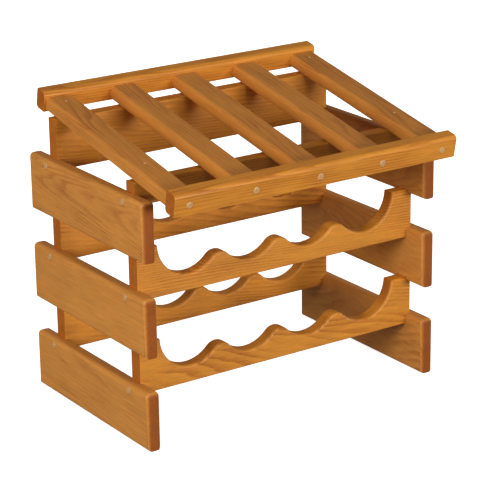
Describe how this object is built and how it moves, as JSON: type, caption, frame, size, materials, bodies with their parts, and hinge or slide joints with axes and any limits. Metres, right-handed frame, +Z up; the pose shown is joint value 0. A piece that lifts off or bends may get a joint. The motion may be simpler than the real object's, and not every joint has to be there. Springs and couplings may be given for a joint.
{
  "type": "wine rack",
  "caption": "Open wooden wine rack: two tiers of scalloped rails between spaced side boards, under a slatted display top that slopes to the front.",
  "frame": {"origin": "on the floor, at the centre of the whole rack's width and depth", "axes": "+X to the right seen from the front, along the rails; +Y to the back, along the side boards; +Z up. The front of the rack faces -Y."},
  "size_m": [0.4446, 0.3286, 0.4018],
  "materials": {
    "oak_board": "medium oak stain under satin lacquer",
    "oak_rail": "medium oak stain under satin lacquer, a little lighter",
    "oak_dowel": "pale end grain under satin lacquer",
    "nail_steel": "bright steel finishing nail, its head under pale filler"
  },
  "bodies": {
    "root": {"left_side_board_lower": "oak_board", "left_side_board_middle": "oak_board", "left_side_board_upper": "oak_board", "right_side_board_lower": "oak_board", "right_side_board_middle": "oak_board", "right_side_board_upper": "oak_board", "front_rail_lower": "oak_rail", "rear_rail_lower": "oak_rail", "front_rail_upper": "oak_rail", "rear_rail_upper": "oak_rail", "front_support_board": "oak_board", "rear_support_board": "oak_board", "display_stile_1": "oak_board", "display_stile_2": "oak_board", "display_stile_3": "oak_board", "display_stile_4": "oak_board", "display_stile_5": "oak_board", "display_front_rail": "oak_rail", "display_rear_rail": "oak_rail", "left_side_dowels": "oak_dowel", "right_side_dowels": "oak_dowel", "display_front_dowels": "oak_dowel", "display_rear_dowels": "oak_dowel", "display_nails": "nail_steel"}
  },
  "joints": []
}
